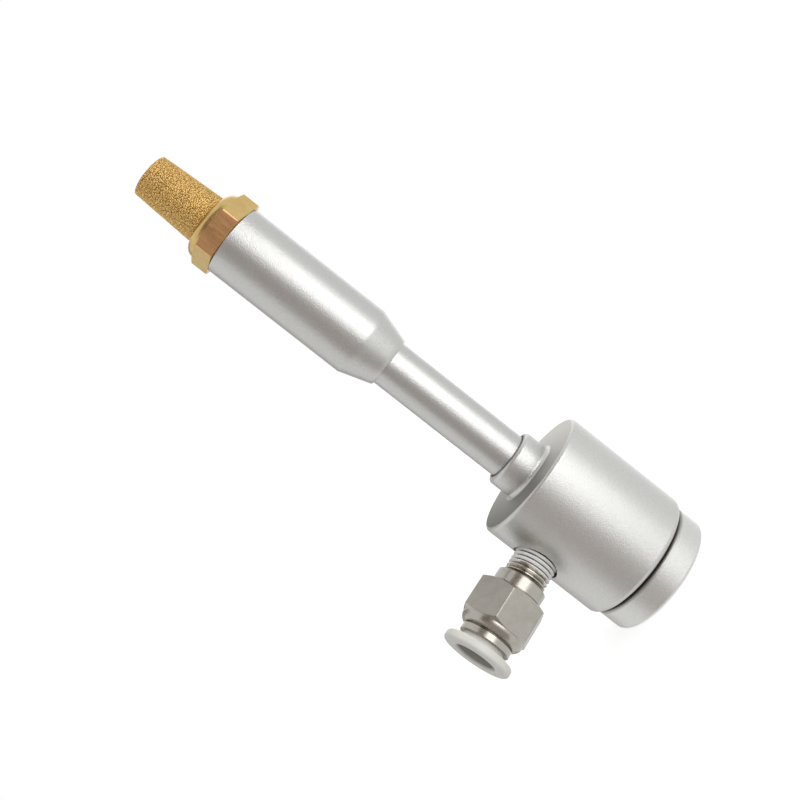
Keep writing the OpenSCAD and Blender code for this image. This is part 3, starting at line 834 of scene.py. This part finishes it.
def seen_rays(tree):
    """1 for rays from the camera and for mirrored and refracted ones, and 0 for others."""
    path = add(tree, "LightPath").outputs
    glossy = add(
        tree,
        "Math",
        {0: path["Is Camera Ray"], 1: path["Is Glossy Ray"]},
        operation="MAXIMUM",
    )
    return add(
        tree,
        "Math",
        {0: glossy.outputs[0], 1: path["Is Transmission Ray"]},
        operation="MAXIMUM",
    ).outputs[0]


def white_world():
    """A white world, whose light on matt surfaces grows away from the inlet."""
    world = bpy.data.worlds.new("white_world")
    bpy.context.scene.world = world
    world.use_nodes = True
    tree = world.node_tree
    back = tree.nodes["Background"]
    way = add(tree, "TexCoord").outputs["Generated"]
    x = add(tree, "SeparateXYZ", {"Vector": way}).outputs["X"]
    ambient = between(tree, x, *AMBIENT, -1, 1)
    strength = add(
        tree,
        "MixRGB",
        {"Fac": seen_rays(tree), "Color1": ambient, "Color2": (1, 1, 1, 1)},
    )
    tree.links.new(strength.outputs["Color"], back.inputs["Color"])


def aim_at_part(thing, azimuth, rise, distance):
    """Places a thing round the part, with its -Z side towards it."""
    turn = math.radians(CAMERA_AZIMUTH + azimuth)
    lift = math.radians(rise)
    out = Vector(
        (
            math.cos(lift) * math.cos(turn),
            math.cos(lift) * math.sin(turn),
            math.sin(lift),
        )
    )
    thing.location = Vector((0, 0, STUDIO_HEIGHT)) + out * distance
    thing.rotation_euler = out.to_track_quat("Z", "Y").to_euler()


def sheet(name, size):
    """A flat sheet about its own origin."""
    half_w, half_h = size[0] / 2, size[1] / 2
    mesh = bpy.data.meshes.new(name)
    corners = [(-half_w, -half_h), (half_w, -half_h), (half_w, half_h), (-half_w, half_h)]
    mesh.from_pydata([(x, y, 0) for x, y in corners], [], [(0, 1, 2, 3)])
    made = bpy.data.objects.new(name, mesh)
    bpy.context.scene.collection.objects.link(made)
    return made


def flag(name, azimuth, rise, size, colour):
    """A card that only mirroring surfaces show, as their shaded or bright side."""
    look, tree, shader = new_material(name)
    glow = add(tree, "Emission", {"Color": colour, "Strength": 1.0})
    tree.links.new(
        glow.outputs["Emission"], tree.nodes["Material Output"].inputs["Surface"]
    )
    tree.nodes.remove(shader)
    made = sheet(name, size)
    made.data.materials.append(look)
    aim_at_part(made, azimuth, rise, FLAG_DISTANCE)
    made.visible_camera = False
    made.visible_shadow = False
    made.visible_diffuse = False


def softbox():
    """The main light, a large softbox beside the camera."""
    light = bpy.data.lights.new("softbox", "AREA")
    light.shape = "RECTANGLE"
    light.size, light.size_y = SOFTBOX_SIZE
    light.energy = SOFTBOX_RADIANCE * math.pi * SOFTBOX_SIZE[0] * SOFTBOX_SIZE[1]
    light.diffuse_factor = SOFTBOX_ON_MATT
    lamp = bpy.data.objects.new("softbox", light)
    bpy.context.scene.collection.objects.link(lamp)
    aim_at_part(lamp, SOFTBOX_AZIMUTH, 0, SOFTBOX_DISTANCE)
    lamp.visible_camera = False


def floor():
    """A pale floor that is white to the camera and keeps the object's shadow."""
    made = sheet("floor", (FLOOR_SIZE, FLOOR_SIZE))
    made.location.z = -FLOOR_DROP
    look, tree, shader = new_material("floor", Roughness=1.0)
    shader.inputs["Specular IOR Level"].default_value = 0
    shader.inputs["Base Color"].default_value = (FLOOR_TONE, FLOOR_TONE, FLOOR_TONE, 1)
    shader.inputs["Emission Color"].default_value = (1, 1, 1, 1)
    glow = between(tree, seen_rays(tree), 0, FLOOR_GLOW, 0, 1)
    tree.links.new(glow, shader.inputs["Emission Strength"])
    made.data.materials.append(look)
    made.visible_glossy = False
    made.visible_shadow = False


def photo_camera():
    """The camera that took the photograph."""
    data = bpy.data.cameras.new("photo_camera")
    data.sensor_width = SENSOR_WIDTH
    data.lens = FOCAL_PX / PHOTO_SIDE * SENSOR_WIDTH
    data.shift_x = (PHOTO_SIDE / 2 - CENTRE_PX[0]) / PHOTO_SIDE
    data.shift_y = (CENTRE_PX[1] - PHOTO_SIDE / 2) / PHOTO_SIDE
    data.clip_start = 0.01
    camera = bpy.data.objects.new("photo_camera", data)
    bpy.context.scene.collection.objects.link(camera)
    camera.location = CAMERA_AT
    camera.rotation_euler = [math.radians(a) for a in CAMERA_TURN]
    bpy.context.scene.camera = camera


white_world()
softbox()
flag("side_flag", SIDE_FLAG_AZIMUTH, 0, SIDE_FLAG_SIZE, SIDE_FLAG_COLOUR)
flag("top_flag", TOP_FLAG_AZIMUTH, TOP_FLAG_RISE, TOP_FLAG_SIZE, TOP_FLAG_COLOUR)
flag("back_flag", BACK_FLAG_AZIMUTH, 0, BACK_FLAG_SIZE, BACK_FLAG_COLOUR)
flag("back_card", BACK_CARD_AZIMUTH, 0, BACK_CARD_SIZE, BACK_CARD_COLOUR)
floor()
photo_camera()
bpy.context.scene.view_settings.view_transform = "Standard"
